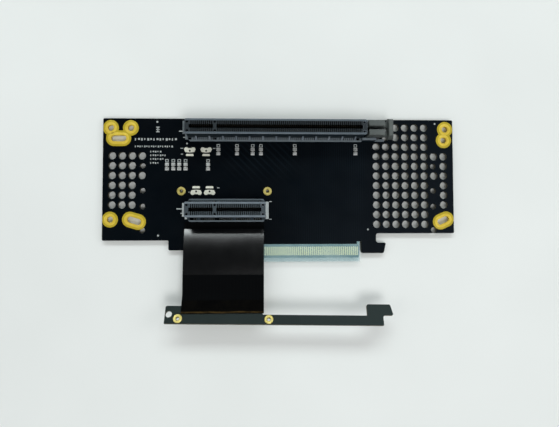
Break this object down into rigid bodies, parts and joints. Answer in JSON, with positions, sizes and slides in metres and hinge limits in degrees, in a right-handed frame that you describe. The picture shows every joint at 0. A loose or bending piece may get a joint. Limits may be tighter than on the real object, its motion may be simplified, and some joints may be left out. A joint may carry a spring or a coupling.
{
  "type": "pcie riser card",
  "caption": "Adapter board with a long and a short card slot, a perforated vent field and gold edge contacts, joined by a flat flex ribbon to a narrow edge card.",
  "frame": {"origin": "centre of the key notch at the main board's finger edge, at the board's mid thickness", "axes": "+X along the slots towards the latch, +Y from the edge contacts up the board, +Z out of the component side"},
  "size_m": [0.1795, 0.1036, 0.0148],
  "materials": {
    "board_laminate": "glossy black solder mask over glass-fibre laminate",
    "gold_plate": "gold-plated copper, semi-bright",
    "slot_plastic": "moulded black, fine satin",
    "contact_metal": "gold-flashed spring contacts with tinned tails",
    "clip_steel": "tinned sheet, satin",
    "latch_plastic": "dark grey moulded plastic, satin",
    "brass_inserts": "turned brass",
    "cover_film": "clear pale blue film, glossy",
    "ribbon_film": "glossy black cover layer",
    "tape_film": "amber polyimide over black, glossy",
    "adhesive": "thin adhesive",
    "chip_ceramic": "tan ceramic",
    "tin": "tinned, slightly uneven"
  },
  "bodies": {
    "riser": {"main_board": "board_laminate", "mounting_lands_front": "gold_plate", "mounting_lands_back": "gold_plate", "edge_contacts_front": "gold_plate", "edge_contacts_back": "gold_plate", "board_inserts": "brass_inserts", "edge_cover": "cover_film", "x16_housing": "slot_plastic", "x16_contacts": "contact_metal", "x16_hold_down": "clip_steel", "x4_housing": "slot_plastic", "x4_contacts": "contact_metal", "x4_hold_down_left": "clip_steel", "x4_hold_down_right": "clip_steel", "edge_card": "board_laminate", "card_contacts_back": "gold_plate", "card_inserts": "brass_inserts", "flex_ribbon": "ribbon_film", "ribbon_tape": "tape_film", "ribbon_bonds": "adhesive", "chip_capacitors": "chip_ceramic", "power_lands": "tin"},
    "latch": {"retention_latch": "latch_plastic"}
  },
  "joints": [
    {"name": "latch_pivot", "type": "hinge", "parent": "riser", "child": "latch", "pos_m": [0.0776, 0.0647, 0.0038], "axis": [0, 1, 0], "range_deg": [0, 20]}
  ]
}
